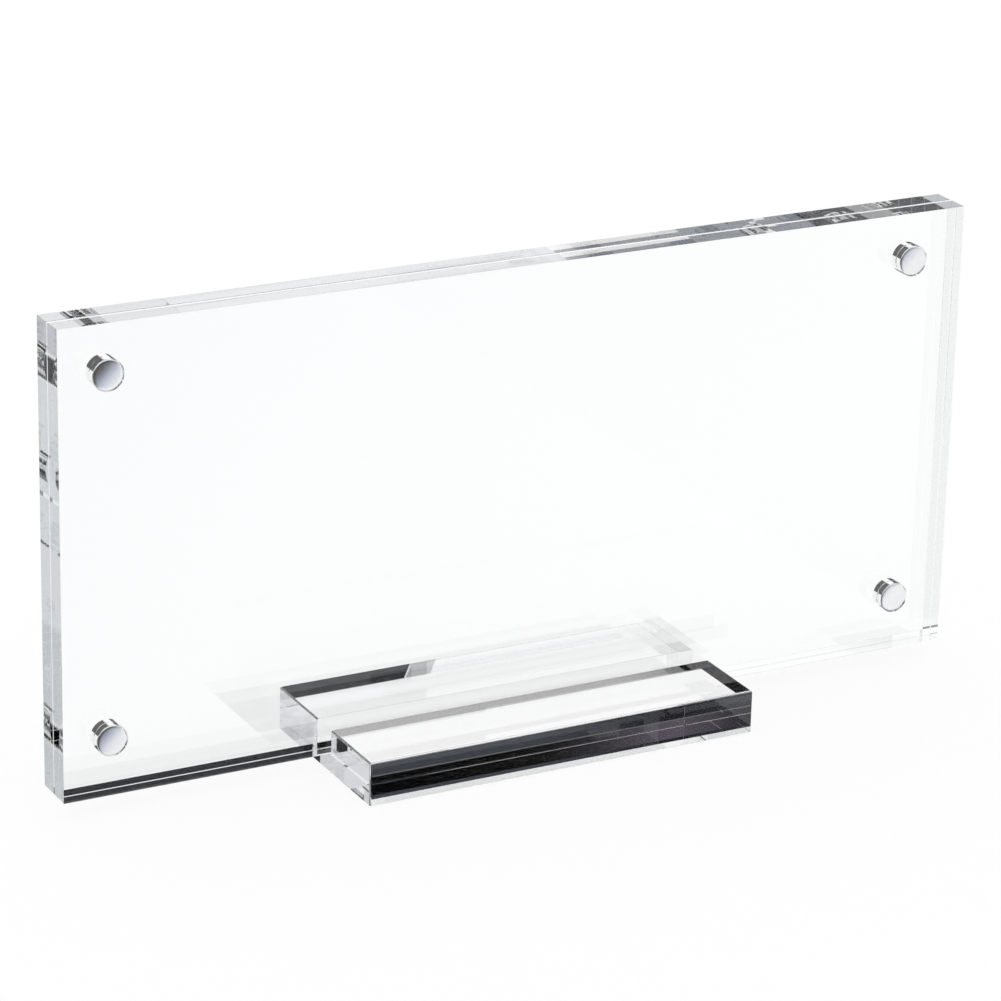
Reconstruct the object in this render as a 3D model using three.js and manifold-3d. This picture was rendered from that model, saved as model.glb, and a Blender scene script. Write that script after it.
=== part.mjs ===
// Acrylic display frame: two clear panels held face to face by eight disc magnets,
// standing upright in the slot of a clear base block.
// Millimetres. X runs along the frame, -Y is its front, +Z is up.
// The origin is the middle of the base block's underside.
import * as THREE from 'three';
import { mergeVertices } from 'three/addons/utils/BufferGeometryUtils.js';
import Module from 'manifold-3d';

// Panels: two equal sheets, with room between them for one printed card
const panelWidth = 250;
const panelHeight = 120;
const panelThickness = 6;
const cardGap = 0.3;
const panelEdge = 0.5;

// Magnets: discs glued into blind bores, flush with the panels' inner faces
const magnetDiameter = 8;
const magnetThickness = 3;
const magnetEdge = 0.3;
const magnetInset = 13.5;
const boreClearance = 0.25;
const glueFilm = 0.1;

// Base block: a slotted bar, the slot running its full width
const baseWidth = 108;
const baseDepth = 57;
const baseHeight = 11.4;
const baseEdge = 0.5;
const slotDepth = 6.4;
const slotClearance = 0.3;

// Fineness of everything round
const roundSegments = 64;
const cutOverrun = 1;

// Fits worked out from the sizes above
const slotFloor = baseHeight - slotDepth;
const frameThickness = 2 * panelThickness + cardGap;
const slotWidth = frameThickness + 2 * slotClearance;
const boreRadius = magnetDiameter / 2 + boreClearance;
const boreDepth = magnetThickness + glueFilm;
const matingFace = cardGap / 2;
const panelMiddle = matingFace + panelThickness / 2;
const magnetMiddle = matingFace + magnetThickness / 2;

const wasm = await Module();
wasm.setup();

// A closed geometry as a solid that can be cut
function solidOf(geometry) {
  const bare = geometry.clone();
  bare.deleteAttribute('normal');
  bare.deleteAttribute('uv');
  const merged = mergeVertices(bare);
  return new wasm.Manifold(new wasm.Mesh({
    numProp: 3,
    vertProperties: merged.getAttribute('position').array,
    triVerts: new Uint32Array(merged.index.array),
  }));
}

// A solid as a geometry with flat-shaded faces
function geometryOf(solid) {
  const { vertProperties, triVerts } = solid.getMesh();
  const indexed = new THREE.BufferGeometry();
  indexed.setAttribute('position', new THREE.BufferAttribute(vertProperties, 3));
  indexed.setIndex(new THREE.BufferAttribute(triVerts, 1));
  const geometry = indexed.toNonIndexed();
  geometry.computeVertexNormals();
  return geometry;
}

// An outline pushed out to a length, centred on it, its sharp edges taken off at both ends
function extrudeCentred(outline, length, edge) {
  const geometry = new THREE.ExtrudeGeometry(outline, {
    depth: length - 2 * edge,
    steps: 1,
    bevelEnabled: true,
    bevelThickness: edge,
    bevelSize: edge,
    bevelOffset: -edge,
    bevelSegments: 1,
  });
  return geometry.translate(0, 0, edge - length / 2);
}

// Clear acrylic: nearly colourless, with a polished surface
function clearAcrylic() {
  return new THREE.MeshStandardMaterial({
    color: 0xf2f7f8,
    roughness: 0.05,
    metalness: 0,
    transparent: true,
    opacity: 0.3,
  });
}

// Bright nickel plating on the magnets
function nickelPlate() {
  return new THREE.MeshStandardMaterial({
    color: 0xc9ccd1,
    roughness: 0.15,
    metalness: 1,
  });
}

function namedMesh(name, geometry, material) {
  const mesh = new THREE.Mesh(geometry, material);
  mesh.name = name;
  return mesh;
}

// The four magnet places of a panel, seen from the front
function magnetPlaces() {
  const across = panelWidth / 2 - magnetInset;
  const places = [];
  for (const [level, z] of [
    ['upper', slotFloor + panelHeight - magnetInset],
    ['lower', slotFloor + magnetInset],
  ]) {
    places.push({ name: `${level}_left`, x: -across, z });
    places.push({ name: `${level}_right`, x: across, z });
  }
  return places;
}

// A panel: a sheet with all its edges eased, and four blind bores in its inner face.
// side is -1 for the front panel and 1 for the rear one.
function panelGeometry(side) {
  const halfWidth = panelWidth / 2;
  const top = slotFloor + panelHeight;
  const outline = new THREE.Shape([
    new THREE.Vector2(-halfWidth + panelEdge, slotFloor),
    new THREE.Vector2(halfWidth - panelEdge, slotFloor),
    new THREE.Vector2(halfWidth, slotFloor + panelEdge),
    new THREE.Vector2(halfWidth, top - panelEdge),
    new THREE.Vector2(halfWidth - panelEdge, top),
    new THREE.Vector2(-halfWidth + panelEdge, top),
    new THREE.Vector2(-halfWidth, top - panelEdge),
    new THREE.Vector2(-halfWidth, slotFloor + panelEdge),
  ]);
  const sheet = extrudeCentred(outline, panelThickness, panelEdge);
  sheet.rotateX(Math.PI / 2);
  sheet.translate(0, side * panelMiddle, 0);
  let panel = solidOf(sheet);
  for (const { x, z } of magnetPlaces()) {
    const bore = new THREE.CylinderGeometry(
      boreRadius, boreRadius, boreDepth + cutOverrun, roundSegments);
    const boreMiddle = matingFace + (boreDepth - cutOverrun) / 2;
    bore.translate(x, side * boreMiddle, z);
    panel = panel.subtract(solidOf(bore));
  }
  return geometryOf(panel);
}

// A disc magnet with an eased rim, its axis along Y
function magnetGeometry() {
  const radius = magnetDiameter / 2;
  const half = magnetThickness / 2;
  return new THREE.LatheGeometry([
    new THREE.Vector2(0, -half),
    new THREE.Vector2(radius - magnetEdge, -half),
    new THREE.Vector2(radius, -half + magnetEdge),
    new THREE.Vector2(radius, half - magnetEdge),
    new THREE.Vector2(radius - magnetEdge, half),
    new THREE.Vector2(0, half),
  ], roundSegments);
}

// One panel with its four magnets
function panelWithMagnets(label, side) {
  const group = new THREE.Group();
  group.add(namedMesh(`${label}_panel`, panelGeometry(side), clearAcrylic()));
  for (const { name, x, z } of magnetPlaces()) {
    const magnet = namedMesh(`${label}_magnet_${name}`, magnetGeometry(), nickelPlate());
    magnet.position.set(x, side * magnetMiddle, z);
    group.add(magnet);
  }
  return group;
}

// The base block: its end outline, with the slot open at the top, pushed out along X
function baseGeometry() {
  const halfDepth = baseDepth / 2;
  const halfSlot = slotWidth / 2;
  const outline = new THREE.Shape([
    new THREE.Vector2(-halfDepth + baseEdge, 0),
    new THREE.Vector2(halfDepth - baseEdge, 0),
    new THREE.Vector2(halfDepth, baseEdge),
    new THREE.Vector2(halfDepth, baseHeight - baseEdge),
    new THREE.Vector2(halfDepth - baseEdge, baseHeight),
    new THREE.Vector2(halfSlot + baseEdge, baseHeight),
    new THREE.Vector2(halfSlot, baseHeight - baseEdge),
    new THREE.Vector2(halfSlot, slotFloor),
    new THREE.Vector2(-halfSlot, slotFloor),
    new THREE.Vector2(-halfSlot, baseHeight - baseEdge),
    new THREE.Vector2(-halfSlot - baseEdge, baseHeight),
    new THREE.Vector2(-halfDepth + baseEdge, baseHeight),
    new THREE.Vector2(-halfDepth, baseHeight - baseEdge),
    new THREE.Vector2(-halfDepth, baseEdge),
  ]);
  const block = extrudeCentred(outline, baseWidth, baseEdge);
  const endOutlineToSide = new THREE.Matrix4().makeBasis(
    new THREE.Vector3(0, 1, 0),
    new THREE.Vector3(0, 0, 1),
    new THREE.Vector3(1, 0, 0),
  );
  return block.applyMatrix4(endOutlineToSide);
}

const displayFrame = new THREE.Group();
displayFrame.add(namedMesh('base_block', baseGeometry(), clearAcrylic()));
displayFrame.add(panelWithMagnets('rear', 1));
displayFrame.add(panelWithMagnets('front', -1));

export default displayFrame;
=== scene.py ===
import math

import bmesh
import bpy
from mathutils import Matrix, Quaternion, Vector


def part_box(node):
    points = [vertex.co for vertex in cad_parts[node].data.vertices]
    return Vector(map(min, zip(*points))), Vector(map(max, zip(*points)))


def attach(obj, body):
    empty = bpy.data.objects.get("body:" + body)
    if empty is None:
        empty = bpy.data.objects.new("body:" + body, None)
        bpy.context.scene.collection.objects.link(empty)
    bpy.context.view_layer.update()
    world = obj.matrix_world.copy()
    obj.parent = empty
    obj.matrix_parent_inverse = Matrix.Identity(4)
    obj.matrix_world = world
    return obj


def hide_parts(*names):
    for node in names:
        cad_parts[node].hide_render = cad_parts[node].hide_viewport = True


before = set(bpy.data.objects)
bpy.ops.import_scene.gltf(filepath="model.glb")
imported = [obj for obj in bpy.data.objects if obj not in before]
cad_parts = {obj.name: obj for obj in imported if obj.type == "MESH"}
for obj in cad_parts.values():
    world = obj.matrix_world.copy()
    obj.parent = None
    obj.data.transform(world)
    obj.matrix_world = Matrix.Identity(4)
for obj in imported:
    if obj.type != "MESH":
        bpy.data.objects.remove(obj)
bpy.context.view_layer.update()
scene = bpy.context.scene

# Camera: the photograph's own view, from the front left and a little above.
# The lens is long, so the frame's parallel edges stay nearly parallel.
view_azimuth = math.radians(28.156)
view_elevation = math.radians(20.536)
view_roll = math.radians(1.352)
view_distance = 1.0467
aim = Vector((-0.00794, -0.00615, 0.06492))
towards_camera = Vector((
    -math.sin(view_azimuth) * math.cos(view_elevation),
    -math.cos(view_azimuth) * math.cos(view_elevation),
    math.sin(view_elevation),
))
camera = bpy.data.objects.new("camera", bpy.data.cameras.new("camera"))
camera.data.lens = 152.0
camera.data.clip_start = 0.01
camera.location = aim + view_distance * towards_camera
camera.rotation_mode = "QUATERNION"
level_view = (-towards_camera).to_track_quat("-Z", "Y")
camera.rotation_quaternion = Quaternion(towards_camera, view_roll) @ level_view
scene.collection.objects.link(camera)
scene.camera = camera

# Base block: a bar of clear cast acrylic with a slot milled along its whole width.
# The slot takes both panels side by side, with a little play. The sawn faces are polished,
# and every outer edge is eased.
block_low, block_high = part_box("base_block")
slot_play = 0.0003
slot_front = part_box("front_panel")[0].y - slot_play
slot_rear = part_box("rear_panel")[1].y + slot_play
slot_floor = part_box("rear_panel")[0].z
seen_edge = 0.0005
other_edge = 0.00006
edge_steps = 3
outer_bend = 1.0
shading_bend = math.radians(50)


def add_piece(name, mesh):
    """Links a mesh as a smooth-shaded piece whose flat faces stay flat."""
    for face in mesh.polygons:
        face.use_smooth = True
    mesh.set_sharp_from_angle(angle=shading_bend)
    piece = bpy.data.objects.new(name, mesh)
    scene.collection.objects.link(piece)
    flat = piece.modifiers.new("flat_faces", "WEIGHTED_NORMAL")
    flat.keep_sharp = True
    flat.weight = 100
    flat.thresh = 1e-7
    return piece


def lies_on(edge, line):
    """Tells whether an edge lies on a line. The line has None for each axis that it leaves free."""
    same_place = 1e-6
    return all(
        place is None or abs(vert.co[axis] - place) < same_place
        for vert in edge.verts for axis, place in enumerate(line))


def ease_edges(shape, lines):
    """Rounds a shape's outer edges, more widely along the given lines."""
    bmesh.ops.recalc_face_normals(shape, faces=shape.faces)
    for radius, wide in ((seen_edge, True), (other_edge, False)):
        outer = [
            edge for edge in shape.edges if edge.is_convex and edge.calc_face_angle() > outer_bend]
        chosen = [edge for edge in outer if not wide or any(lies_on(edge, line) for line in lines)]
        bmesh.ops.bevel(
            shape, geom=chosen, offset=radius, offset_type="OFFSET", segments=edge_steps,
            profile=0.5, affect="EDGES", clamp_overlap=True)


def mesh_of(name, shape):
    """Turns a finished shape into a mesh."""
    mesh = bpy.data.meshes.new(name)
    shape.to_mesh(mesh)
    shape.free()
    return mesh


def build_block():
    """The end outline with its slot, pushed out along the width."""
    outline = [
        (block_low.y, block_low.z),
        (block_high.y, block_low.z),
        (block_high.y, block_high.z),
        (slot_rear, block_high.z),
        (slot_rear, slot_floor),
        (slot_front, slot_floor),
        (slot_front, block_high.z),
        (block_low.y, block_high.z),
    ]
    shape = bmesh.new()
    end = shape.faces.new([shape.verts.new((block_low.x, y, z)) for y, z in outline])
    pushed = bmesh.ops.extrude_face_region(shape, geom=[end])
    moved = [item for item in pushed["geom"] if isinstance(item, bmesh.types.BMVert)]
    bmesh.ops.translate(shape, verts=moved, vec=(block_high.x - block_low.x, 0, 0))
    ease_edges(shape, [
        (block_low.x, block_low.y, None),
        (None, block_low.y, block_high.z),
        (block_low.x, None, block_high.z),
        (block_high.x, None, block_high.z),
    ])
    return mesh_of("base_block_polished", shape)


mark_stretch = (12.0, 900.0, 1.0)
mark_noise = (0.35, 0.75)
mark_roughness = 0.035
acrylic_tint = (0.997, 0.999, 1.0, 1)
acrylic_index = 1.49
sawn_face_turn = 0.5
block_mark_depth = 8e-7


def polish_marks_group():
    """Fine lines left by the polishing cloth, running along a sawn edge."""
    group = bpy.data.node_groups.new("polish_marks", "ShaderNodeTree")
    sockets = group.interface
    for name in ("Along", "Across", "Mask"):
        sockets.new_socket(name, in_out="INPUT", socket_type="NodeSocketFloat")
    sockets.new_socket("Height", in_out="OUTPUT", socket_type="NodeSocketFloat")
    sockets.new_socket("Roughness", in_out="OUTPUT", socket_type="NodeSocketFloat")
    nodes, links = group.nodes, group.links
    given = nodes.new("NodeGroupInput")
    result = nodes.new("NodeGroupOutput")

    place = nodes.new("ShaderNodeCombineXYZ")
    stretch = nodes.new("ShaderNodeVectorMath")
    stretch.operation = "MULTIPLY"
    stretch.inputs[1].default_value = mark_stretch
    lines = nodes.new("ShaderNodeTexNoise")
    lines.inputs["Scale"].default_value = 1.0
    lines.inputs["Detail"].default_value = 3.0
    height = nodes.new("ShaderNodeMath")
    height.operation = "MULTIPLY"
    rough = nodes.new("ShaderNodeMapRange")
    rough.inputs["From Min"].default_value, rough.inputs["From Max"].default_value = mark_noise
    rough.inputs["To Max"].default_value = mark_roughness
    masked = nodes.new("ShaderNodeMath")
    masked.operation = "MULTIPLY"

    links.new(given.outputs["Along"], place.inputs["X"])
    links.new(given.outputs["Across"], place.inputs["Y"])
    links.new(place.outputs["Vector"], stretch.inputs[0])
    links.new(stretch.outputs["Vector"], lines.inputs["Vector"])
    links.new(lines.outputs["Fac"], height.inputs[0])
    links.new(given.outputs["Mask"], height.inputs[1])
    links.new(lines.outputs["Fac"], rough.inputs["Value"])
    links.new(rough.outputs["Result"], masked.inputs[0])
    links.new(given.outputs["Mask"], masked.inputs[1])
    links.new(height.outputs["Value"], result.inputs["Height"])
    links.new(masked.outputs["Value"], result.inputs["Roughness"])
    return group


def clear_acrylic(name, across, mark_depth):
    """Clear acrylic with polish marks on its sawn faces. across is the axis over which they lie."""
    material = bpy.data.materials.new(name)
    material.use_nodes = True
    nodes, links = material.node_tree.nodes, material.node_tree.links
    shader = nodes["Principled BSDF"]
    shader.inputs["Base Color"].default_value = acrylic_tint
    shader.inputs["IOR"].default_value = acrylic_index
    shader.inputs["Transmission Weight"].default_value = 1.0

    place = nodes.new("ShaderNodeTexCoord")
    axes = nodes.new("ShaderNodeSeparateXYZ")
    along = nodes.new("ShaderNodeMath")
    facing = nodes.new("ShaderNodeNewGeometry")
    turned = nodes.new("ShaderNodeSeparateXYZ")
    size = nodes.new("ShaderNodeMath")
    size.operation = "ABSOLUTE"
    edge = nodes.new("ShaderNodeMath")
    edge.operation = "LESS_THAN"
    edge.inputs[1].default_value = sawn_face_turn
    marks = nodes.new("ShaderNodeGroup")
    marks.node_tree = polish_marks
    bump = nodes.new("ShaderNodeBump")
    bump.inputs["Distance"].default_value = mark_depth

    other = "Z" if across == "Y" else "Y"
    links.new(place.outputs["Object"], axes.inputs["Vector"])
    links.new(axes.outputs["X"], along.inputs[0])
    links.new(axes.outputs[other], along.inputs[1])
    links.new(along.outputs["Value"], marks.inputs["Along"])
    links.new(axes.outputs[across], marks.inputs["Across"])
    links.new(facing.outputs["True Normal"], turned.inputs["Vector"])
    links.new(turned.outputs[across], size.inputs[0])
    links.new(size.outputs["Value"], edge.inputs[0])
    links.new(edge.outputs["Value"], marks.inputs["Mask"])
    links.new(marks.outputs["Roughness"], shader.inputs["Roughness"])
    links.new(marks.outputs["Height"], bump.inputs["Height"])
    links.new(bump.outputs["Normal"], shader.inputs["Normal"])
    return material


polish_marks = polish_marks_group()
base_block = add_piece("base_block_polished", build_block())
base_block.data.materials.append(
    clear_acrylic("acrylic_block", across="Z", mark_depth=block_mark_depth))
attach(base_block, "base")
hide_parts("base_block")

# Panels: two sheets of the same clear acrylic, laser-cut and polished on all edges.
# Each has four blind bores in its inner face, one near each corner, for the magnets.
bore_radius = 0.0041
bore_depth = 0.00305
bore_overrun = 0.001
seat_gap = 0.00003
panel_mark_depth = 1.2e-6


def turned_mesh(name, profile, steps=128):
    """A solid turned about the Y axis. The profile runs from pole to pole as (radius, y)."""
    shape = bmesh.new()
    rings = []
    for radius, y in profile:
        count = steps if radius > 0 else 1
        angles = [2 * math.pi * i / count for i in range(count)]
        ring = [shape.verts.new((radius * math.cos(a), y, radius * math.sin(a))) for a in angles]
        rings.append(ring)
    for near, far in zip(rings, rings[1:]):
        for i in range(steps):
            j = (i + 1) % steps
            round_face = [
                near[i % len(near)], far[i % len(far)], far[j % len(far)], near[j % len(near)]]
            shape.faces.new(list(dict.fromkeys(round_face)))
    bmesh.ops.recalc_face_normals(shape, faces=shape.faces)
    return mesh_of(name, shape)


def build_panel(name, magnets):
    """An eased sheet where its CAD node is, cut by a blind bore at each magnet."""
    low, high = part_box(name)
    low.z += seat_gap
    shape = bmesh.new()
    bmesh.ops.create_cube(shape, size=1.0)
    bmesh.ops.scale(shape, vec=high - low, verts=shape.verts)
    bmesh.ops.translate(shape, vec=(low + high) / 2, verts=shape.verts)
    side = 1 if low.y > 0 else -1
    mouth = low.y if side > 0 else high.y
    ease_edges(shape, [(None, mouth, high.z)])
    sheet = bpy.data.objects.new("sheet", mesh_of(name, shape))
    scene.collection.objects.link(sheet)

    profile = [
        (radius, side * depth) for radius, depth in (
            (0, -bore_overrun), (bore_radius, -bore_overrun), (bore_radius, bore_depth),
            (0, bore_depth))]
    cutters = []
    for magnet in magnets:
        magnet_low, magnet_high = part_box(magnet)
        middle = (magnet_low + magnet_high) / 2
        cutter = bpy.data.objects.new("bore", turned_mesh("bore", profile))
        cutter.location = (middle.x, mouth, middle.z)
        scene.collection.objects.link(cutter)
        cut = sheet.modifiers.new("bore", "BOOLEAN")
        cut.object = cutter
        cut.solver = "EXACT"
        cutters.append(cutter)
    bpy.context.view_layer.update()
    finished = bpy.data.meshes.new_from_object(
        sheet.evaluated_get(bpy.context.evaluated_depsgraph_get()))
    for tool in [sheet, *cutters]:
        bpy.data.objects.remove(tool)
    return finished


corners = [f"{level}_{hand}" for level in ("upper", "lower") for hand in ("left", "right")]
panel_acrylic = clear_acrylic("acrylic_panel", across="Y", mark_depth=panel_mark_depth)
for half in ("rear", "front"):
    cut_sheet = build_panel(f"{half}_panel", [f"{half}_magnet_{corner}" for corner in corners])
    panel = add_piece(f"{half}_panel_polished", cut_sheet)
    panel.data.materials.clear()
    panel.data.materials.append(panel_acrylic)
    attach(panel, f"{half}_half")
    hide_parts(f"{half}_panel")

# Magnets: eight disc magnets, nickel-plated, glued into the bores and flush with the inner faces.
# Tumbling before plating leaves their rims round and their faces very slightly crowned.
rim = 0.00045
crown = 0.0001
face_rings = 6
peel_scale = 700.0
peel_depth = 2e-6
nickel_tones = (0.86, 0.865, 0.88, 1), (0.92, 0.92, 0.92, 1)
nickel_roughness = (0.05, 0.12)


def arc(centre, radius, start, end, steps=5):
    """Points on a circle, from one angle to another in degrees, both ends included."""
    turns = [math.radians(start + (end - start) * i / steps) for i in range(steps + 1)]
    return [(centre[0] + radius * math.cos(a), centre[1] + radius * math.sin(a)) for a in turns]


def build_magnet(name, thickness, radius):
    """A disc about the Y axis, crowned on both faces and round at its rims."""
    half = thickness / 2
    flat = radius - rim
    faces = [i / face_rings for i in range(face_rings)]
    front = [(flat * t, half - crown * t * t) for t in faces]
    edge = arc((flat, half - crown - rim), rim, 90, 0)
    outline = front + edge
    return turned_mesh(name, outline + [(r, -y) for r, y in reversed(outline)])


def bright_nickel():
    """Bright nickel plate with a faint orange peel, which also varies its tone and gloss."""
    material = bpy.data.materials.new("bright_nickel")
    material.use_nodes = True
    nodes, links = material.node_tree.nodes, material.node_tree.links
    shader = nodes["Principled BSDF"]
    shader.inputs["Metallic"].default_value = 1.0
    place = nodes.new("ShaderNodeTexCoord")
    peel = nodes.new("ShaderNodeTexNoise")
    peel.inputs["Scale"].default_value = peel_scale
    peel.inputs["Detail"].default_value = 2.0
    bump = nodes.new("ShaderNodeBump")
    bump.inputs["Distance"].default_value = peel_depth
    tone = nodes.new("ShaderNodeMix")
    tone.data_type = "RGBA"
    tone.inputs["A"].default_value, tone.inputs["B"].default_value = nickel_tones
    rough = nodes.new("ShaderNodeMapRange")
    rough.inputs["To Min"].default_value, rough.inputs["To Max"].default_value = nickel_roughness
    links.new(place.outputs["Object"], peel.inputs["Vector"])
    links.new(peel.outputs["Fac"], bump.inputs["Height"])
    links.new(peel.outputs["Fac"], tone.inputs["Factor"])
    links.new(peel.outputs["Fac"], rough.inputs["Value"])
    links.new(tone.outputs["Result"], shader.inputs["Base Color"])
    links.new(rough.outputs["Result"], shader.inputs["Roughness"])
    links.new(bump.outputs["Normal"], shader.inputs["Normal"])
    return material


nickel = bright_nickel()
for half in ("rear", "front"):
    for corner in corners:
        node = f"{half}_magnet_{corner}"
        magnet_low, magnet_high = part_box(node)
        span = magnet_high - magnet_low
        disc = add_piece(f"{node}_plated", build_magnet(node, span.y, span.x / 2))
        disc.location = (magnet_low + magnet_high) / 2
        disc.data.materials.append(nickel)
        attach(disc, f"{half}_half")
        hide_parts(node)

# Studio: a white floor under even white light. Clear acrylic shows only at its edges, so glowing
# sheets stand round it, whose tones are painted reflections: they light nothing and cast no shadow.
# They show only in light that has been reflected in the piece, so neither to the camera nor through
# the clear panels.
reflections = 96
many_reflections = 8
several_passes = 4
scene.view_settings.view_transform = "Standard"
scene.cycles.max_bounces = reflections
scene.cycles.glossy_bounces = reflections
scene.cycles.transmission_bounces = reflections
scene.cycles.transparent_max_bounces = reflections
black = (0.0, 0.0, 0.0)
white = (1.0, 1.0, 1.0)
grey_blue = (0.28, 0.30, 0.34)
pale = (0.67, 0.69, 0.71)


def grey(tone):
    return (tone, tone, tone)


def step_up(nodes, links, value, low, high):
    """0 at low, 1 at high, and even between them. low may be the greater of the two."""
    span = nodes.new("ShaderNodeMapRange")
    span.inputs["From Min"].default_value = low
    span.inputs["From Max"].default_value = high
    links.new(value, span.inputs["Value"])
    return span.outputs["Result"]


def combine(nodes, links, operation, first, second):
    """Two changing values joined by one step of arithmetic."""
    math_node = nodes.new("ShaderNodeMath")
    math_node.operation = operation
    links.new(first, math_node.inputs[0])
    links.new(second, math_node.inputs[1])
    return math_node.outputs["Value"]


def reflected_mask(nodes, links, least=1):
    """1 for light that comes to the camera by way of at least so many reflections in the piece."""
    path = nodes.new("ShaderNodeLightPath")
    bounced = step_up(nodes, links, path.outputs["Glossy Depth"], least - 1, least)
    scattered = step_up(nodes, links, path.outputs["Diffuse Depth"], 0, 1)
    return combine(nodes, links, "GREATER_THAN", bounced, scattered)


def blend(nodes, links, factor, first, second):
    """One of two colours, each given as a colour or as a socket."""
    mix = nodes.new("ShaderNodeMix")
    mix.data_type = "RGBA"
    links.new(factor, mix.inputs["Factor"])
    for socket, colour in (("A", first), ("B", second)):
        if isinstance(colour, tuple):
            mix.inputs[socket].default_value = (*colour, 1)
        else:
            links.new(colour, mix.inputs[socket])
    return mix.outputs["Result"]


def tone_ramp(nodes, links, value, tones):
    """Colours for a value, given as (value, colour) pairs."""
    first, last = tones[0][0], tones[-1][0]
    ramp = nodes.new("ShaderNodeValToRGB")
    stops = ramp.color_ramp.elements
    while len(stops) < len(tones):
        stops.new(0.5)
    for stop, (where, colour) in zip(stops, tones):
        stop.position = (where - first) / (last - first)
        stop.color = (*colour, 1)
    links.new(step_up(nodes, links, value, first, last), ramp.inputs["Fac"])
    return ramp.outputs["Color"]


def deep_mask(nodes, links):
    """1 for light that has passed through several surfaces, so through more than one piece."""
    path = nodes.new("ShaderNodeLightPath")
    passes = path.outputs["Transmission Depth"]
    return step_up(nodes, links, passes, several_passes - 1, several_passes)


def painted_reflection_material(name, tones, axis, deep, least):
    """A glowing sheet that paints a reflection. Its tone runs through the given (place, colour)
    pairs along one of its axes.
    """
    material = bpy.data.materials.new(name)
    material.use_nodes = True
    nodes, links = material.node_tree.nodes, material.node_tree.links
    nodes.clear()
    output = nodes.new("ShaderNodeOutputMaterial")
    mix = nodes.new("ShaderNodeMixShader")
    clear = nodes.new("ShaderNodeBsdfTransparent")
    glow = nodes.new("ShaderNodeEmission")
    place = nodes.new("ShaderNodeTexCoord")
    axes = nodes.new("ShaderNodeSeparateXYZ")
    links.new(place.outputs["Object"], axes.inputs["Vector"])
    links.new(tone_ramp(nodes, links, axes.outputs[axis], tones), glow.inputs["Color"])
    mask = reflected_mask(nodes, links, least)
    if deep:
        mask = combine(nodes, links, "MULTIPLY", mask, deep_mask(nodes, links))
    links.new(mask, mix.inputs["Fac"])
    links.new(clear.outputs["BSDF"], mix.inputs[1])
    links.new(glow.outputs["Emission"], mix.inputs[2])
    links.new(mix.outputs["Shader"], output.inputs["Surface"])
    return material


def add_painted_reflection(name, low, high, *tones, axis="X", lean=0.0, deep=False, least=1):
    """A painted reflection: a glowing sheet between two corners, flat in the one direction in which
    they agree.

    One tone, or (place, tone) pairs along an axis, may be given. lean moves its far side along X.
    A deep sheet shows only in light that went through more than one piece. least is how many
    reflections the light must have had.
    """
    low, high = Vector(low), Vector(high)
    flat = min(range(3), key=lambda i: high[i] - low[i])
    first, second = [i for i in range(3) if i != flat]
    places = []
    for a, b in ((0, 0), (1, 0), (1, 1), (0, 1)):
        place = low.copy()
        place[first] = (low, high)[a][first]
        place[second] = (low, high)[b][second]
        place.x += lean * b
        places.append(place)
    mesh = bpy.data.meshes.new(name)
    mesh.from_pydata(places, [], [(0, 1, 2, 3)])
    painted_sheet = bpy.data.objects.new(name, mesh)
    if len(tones) == 1:
        tones = ((0, tones[0]), (1, tones[0]))
    painted_sheet.data.materials.append(painted_reflection_material(name, tones, axis, deep, least))
    painted_sheet.visible_shadow = False
    painted_sheet.visible_diffuse = False
    scene.collection.objects.link(painted_sheet)


under = -0.0001
behind = 0.035
# Tones of the painted reflections.
fade = [(0.003, grey(0.002)), (0.018, grey(0.007)), (0.032, (0.03, 0.028, 0.034)),
        (0.042, (0.065, 0.058, 0.072)), (0.053, (0.095, 0.084, 0.105))]
charcoal = [(0.015, (0.045, 0.051, 0.061)), (0.04, (0.025, 0.027, 0.034)),
            (0.055, (0.014, 0.014, 0.018))]
ink = (0.012, 0.014, 0.018)

# Painted reflections before and behind the base block and the panels
add_painted_reflection("painted_reflection_before_block", (-0.06, -0.056, under), (0.056, -0.0287, under), black)
add_painted_reflection("painted_reflection_before_front", (-0.054, -0.0295, 0.0035), (0.054, -0.0295, 0.0075), black, least=4)
add_painted_reflection("painted_reflection_before_panels", (-0.035, -0.0075, 0.0125), (0.065, -0.0075, 0.0165), black,
         deep=True)
add_painted_reflection("painted_reflection_behind_low", (-0.06, behind, 0.0046), (0.066, behind, 0.0078), *fade)
add_painted_reflection("painted_reflection_behind_middle", (-0.06, behind, 0.0078), (0.066, behind, 0.0124), *charcoal)
add_painted_reflection("painted_reflection_behind_line", (-0.06, behind, 0.0124), (0.066, behind, 0.0127), grey(0.12))
add_painted_reflection("painted_reflection_behind_high", (-0.06, behind, 0.0127), (0.066, behind, 0.0147), *fade)
add_painted_reflection("painted_reflection_behind_rise", (-0.06, behind, 0.0147), (-0.009, behind, 0.0185), black)
add_painted_reflection("painted_reflection_behind_slot", (-0.06, behind, 0.0289), (0.08, behind, 0.031), black)
add_painted_reflection("painted_reflection_behind_panels", (-0.05, 0.0075, 0.0125), (-0.006, 0.0075, 0.0185), black)

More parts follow.
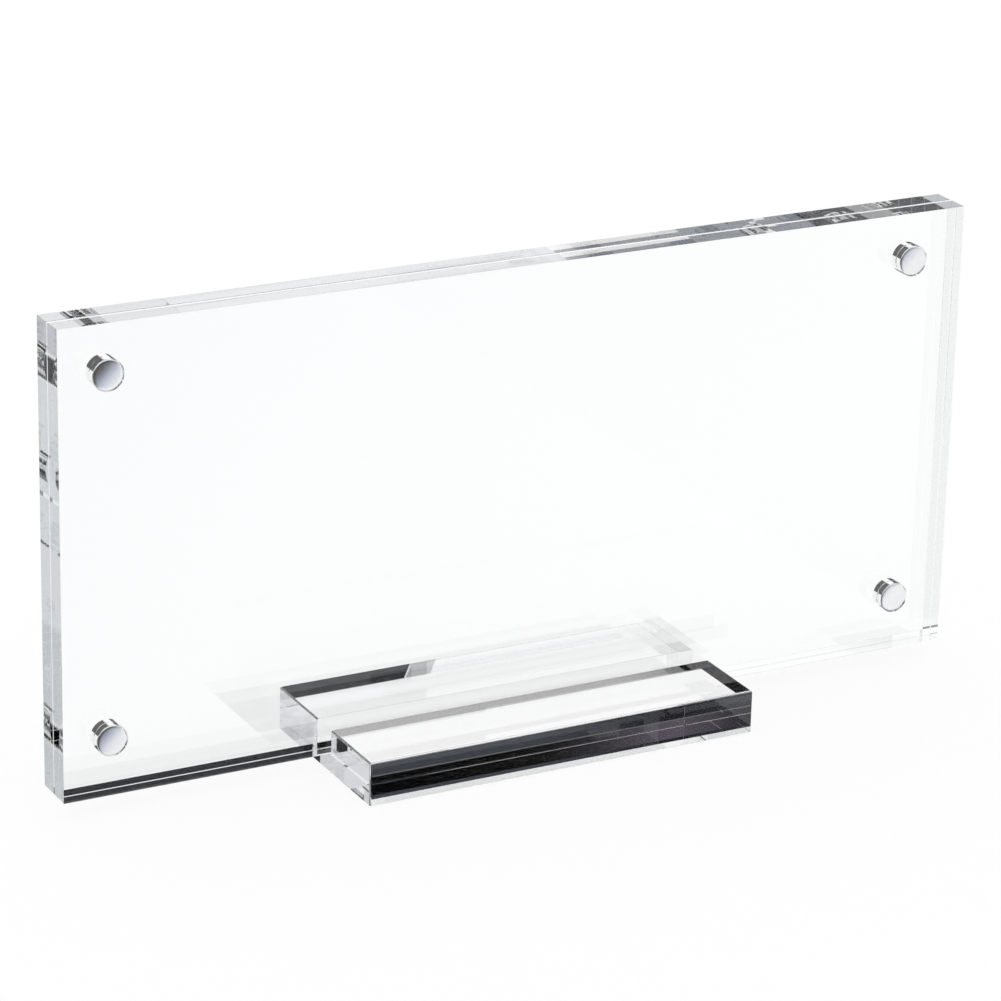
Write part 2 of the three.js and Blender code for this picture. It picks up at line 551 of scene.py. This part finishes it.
# Painted reflections under the panels and the base block, and over the block's front end
add_painted_reflection("painted_reflection_under_panels", (-0.054, -0.0097, under), (0.0493, 0.0097, under), pale)
add_painted_reflection("painted_reflection_under_left", (-0.1255, -0.0078, 0.0045), (-0.0543, 0.0078, 0.0045),
         (-0.12, pale), (-0.0794, pale), (-0.0792, black), (-0.0767, black), (-0.0765, pale))
add_painted_reflection("painted_reflection_under_slot_front", (-0.054, -0.0146, under), (0.0495, -0.0097, under),
         (-0.054, grey(0.45)), (0.03, grey(0.42)), (0.0495, grey(0.24)))
add_painted_reflection("painted_reflection_under_slot_end", (0.0495, -0.0206, under), (0.0541, 0.0005, under), black)
add_painted_reflection("painted_reflection_under_slot_pale", (0.0493, -0.0097, under / 2), (0.0545, 0.0097, under / 2), pale,
         least=many_reflections)
add_painted_reflection("painted_reflection_over_front_end", (0.0505, -0.0275, 0.0125), (0.0558, -0.008, 0.0125), black)
add_painted_reflection("painted_reflection_under_rear_dark", (-0.06, 0.0203, under), (-0.0131, 0.0287, under), black,
         lean=-0.006)
add_painted_reflection("painted_reflection_under_rear_grey", (-0.0126, 0.0203, under), (-0.0056, 0.0287, under), grey(0.5),
         lean=-0.006)
add_painted_reflection("painted_reflection_under_rear_pale", (-0.0053, 0.0203, under), (0.056, 0.0287, under), white,
         lean=-0.006)
add_painted_reflection("painted_reflection_under_rear_end", (0.0495, 0.0097, under), (0.054, 0.0203, under), grey(0.85))

# Painted reflections beside the base block's right end
add_painted_reflection("painted_reflection_beside_slot", (0.0548, -0.0287, 0.0008), (0.0548, -0.0203, 0.0082), grey(0.03))
add_painted_reflection("painted_reflection_beside_corner", (0.0542, -0.0287, 0.0077), (0.0542, -0.0195, 0.009),
         (0.5, 0.5, 0.52), least=7)
add_painted_reflection("painted_reflection_beside_block", (0.0549, -0.0203, under), (0.0549, 0.03, 0.0122), (0.78, 0.785, 0.81))
add_painted_reflection("painted_reflection_under_end", (0.0552, -0.03, under), (0.064, 0.022, under), pale)

# Painted reflections round the panels' lower edges, where they stand clear of the base block
add_painted_reflection("painted_reflection_under_right", (0.106, -0.022, under), (0.128, 0.022, under), grey_blue)
add_painted_reflection("painted_reflection_low_behind", (-0.127, 0.008, 0.0046), (-0.0545, 0.008, 0.0135), ink)
add_painted_reflection("painted_reflection_low_before", (-0.127, -0.0075, 0.0046), (-0.0545, -0.0075, 0.009), ink)
add_painted_reflection("painted_reflection_low_right", (0.1165, 0.0076, 0.005), (0.1252, 0.0076, 0.0095), white)

# Painted reflections over the panels' top edges, and beyond their right end
add_painted_reflection("painted_reflection_over_left", (-0.1175, -0.003, 0.1262), (-0.1105, 0.009, 0.1262), black)
add_painted_reflection("painted_reflection_over_right", (0.0985, -0.003, 0.1262), (0.1075, 0.012, 0.1262), white)
lilac = (0.6, 0.62, 0.66)
silver = (0.76, 0.8, 0.83)
beside = [(-0.024, silver), (0.0118, silver), (0.0121, white), (0.0127, white), (0.0128, black),
          (0.0208, black), (0.0209, white), (0.0215, white), (0.0218, lilac), (0.034, lilac),
          (0.036, silver), (0.1072, silver), (0.1076, white), (0.1086, white), (0.1087, black),
          (0.1151, black), (0.1152, white), (0.1162, white), (0.1166, silver)]
add_painted_reflection("painted_reflection_right_front", (0.155, -0.087, -0.024), (0.155, -0.06, 0.132), *beside, axis="Z",
         least=many_reflections)
add_painted_reflection("painted_reflection_right_rear", (0.155, 0.06, -0.024), (0.155, 0.087, 0.132), *beside, axis="Z",
         least=many_reflections)

floor_reach = 6.0
floor_level = -0.0003
floor_glow = 0.9
solid_from = 0.022
solid_right_of = -0.127
solid_left_of = 0.13
border = 1e-5


def pale_floor():
    """Plain white, with the piece's shadow. Reflected light meets it only behind the piece."""
    material = bpy.data.materials.new("pale_floor")
    material.use_nodes = True
    nodes, links = material.node_tree.nodes, material.node_tree.links
    shader = nodes["Principled BSDF"]
    shader.inputs["Base Color"].default_value = (1, 1, 1, 1)
    shader.inputs["Roughness"].default_value = 1.0
    shader.inputs["Specular IOR Level"].default_value = 0.0
    output = nodes["Material Output"]
    clear = nodes.new("ShaderNodeBsdfTransparent")
    glow = nodes.new("ShaderNodeEmission")
    place = nodes.new("ShaderNodeTexCoord")
    axes = nodes.new("ShaderNodeSeparateXYZ")
    seen = nodes.new("ShaderNodeMixShader")
    seen.inputs["Fac"].default_value = floor_glow
    beyond = nodes.new("ShaderNodeMixShader")
    mix = nodes.new("ShaderNodeMixShader")
    links.new(place.outputs["Object"], axes.inputs["Vector"])
    behind_piece = step_up(nodes, links, axes.outputs["Y"], solid_from, solid_from + border)
    past_left = step_up(nodes, links, axes.outputs["X"], solid_right_of, solid_right_of + border)
    short_of_right = step_up(nodes, links, axes.outputs["X"], solid_left_of, solid_left_of - border)
    level_with_piece = combine(nodes, links, "MULTIPLY", past_left, short_of_right)
    solid = combine(nodes, links, "MULTIPLY", behind_piece, level_with_piece)
    links.new(shader.outputs["BSDF"], seen.inputs[1])
    links.new(glow.outputs["Emission"], seen.inputs[2])
    links.new(solid, beyond.inputs["Fac"])
    links.new(clear.outputs["BSDF"], beyond.inputs[1])
    links.new(glow.outputs["Emission"], beyond.inputs[2])
    links.new(reflected_mask(nodes, links), mix.inputs["Fac"])
    links.new(seen.outputs["Shader"], mix.inputs[1])
    links.new(beyond.outputs["Shader"], mix.inputs[2])
    links.new(mix.outputs["Shader"], output.inputs["Surface"])
    return material


floor_mesh = bpy.data.meshes.new("floor")
floor_mesh.from_pydata(
    [(-floor_reach, -floor_reach, floor_level), (floor_reach, -floor_reach, floor_level),
     (floor_reach, floor_reach, floor_level), (-floor_reach, floor_reach, floor_level)],
    [], [(0, 1, 2, 3)])
floor = bpy.data.objects.new("floor", floor_mesh)
floor.data.materials.append(pale_floor())
scene.collection.objects.link(floor)


side_blend = 0.02
level_blend = 0.01
# Painted reflection tones, which only reflected light meets.
shade_tones = [
    (0.52, black), (0.6, (0.08, 0.08, 0.09)), (0.68, (0.4, 0.44, 0.54)), (0.76, (0.78, 0.8, 0.86)),
    (0.84, white)]
flat_tones = [(0.1, black), (0.2, white), (0.46, white), (0.468, black)]
steep_sides = (0.1, 0.2)
steep_from, steep_to = 0.36, 0.38


def studio_world():
    """Even white light. What the piece reflects is darker on some sides, as painted reflections
    that light nothing.

    Each value is a direction: x to the right, y away from the front and z up.
    """
    world = bpy.data.worlds.new("studio")
    world.use_nodes = True
    nodes, links = world.node_tree.nodes, world.node_tree.links
    place = nodes.new("ShaderNodeTexCoord")
    axes = nodes.new("ShaderNodeSeparateXYZ")
    links.new(place.outputs["Generated"], axes.inputs["Vector"])
    x, y, z = (axes.outputs[axis] for axis in "XYZ")
    rightward = step_up(nodes, links, x, -side_blend, side_blend)
    leftward = step_up(nodes, links, x, side_blend, -side_blend)
    backward = step_up(nodes, links, y, -side_blend, side_blend)
    upward = step_up(nodes, links, z, -level_blend, level_blend)
    deep = deep_mask(nodes, links)
    often = reflected_mask(nodes, links, many_reflections)

    slant = combine(nodes, links, "SUBTRACT", x, z)
    shade = tone_ramp(nodes, links, slant, shade_tones)
    low_front = blend(nodes, links, rightward, black, blend(nodes, links, deep, white, shade))
    passed = combine(nodes, links, "SUBTRACT", deep, often)
    low_back = blend(nodes, links, rightward, blend(nodes, links, passed, black, white), grey_blue)
    low = blend(nodes, links, backward, low_front, low_back)

    flat = tone_ramp(nodes, links, x, flat_tones)
    steep = blend(nodes, links, step_up(nodes, links, x, *steep_sides), black, white)
    raised = step_up(nodes, links, z, steep_from, steep_to)
    first_back = blend(nodes, links, raised, flat, steep)
    often_left = combine(nodes, links, "MULTIPLY", often, leftward)
    high_back = blend(nodes, links, often_left, first_back, silver)
    high = blend(nodes, links, backward, grey(0.9), high_back)
    reflected = blend(nodes, links, upward, low, high)
    seen = blend(nodes, links, reflected_mask(nodes, links), white, reflected)
    links.new(seen, nodes["Background"].inputs["Color"])
    return world


scene.world = studio_world()
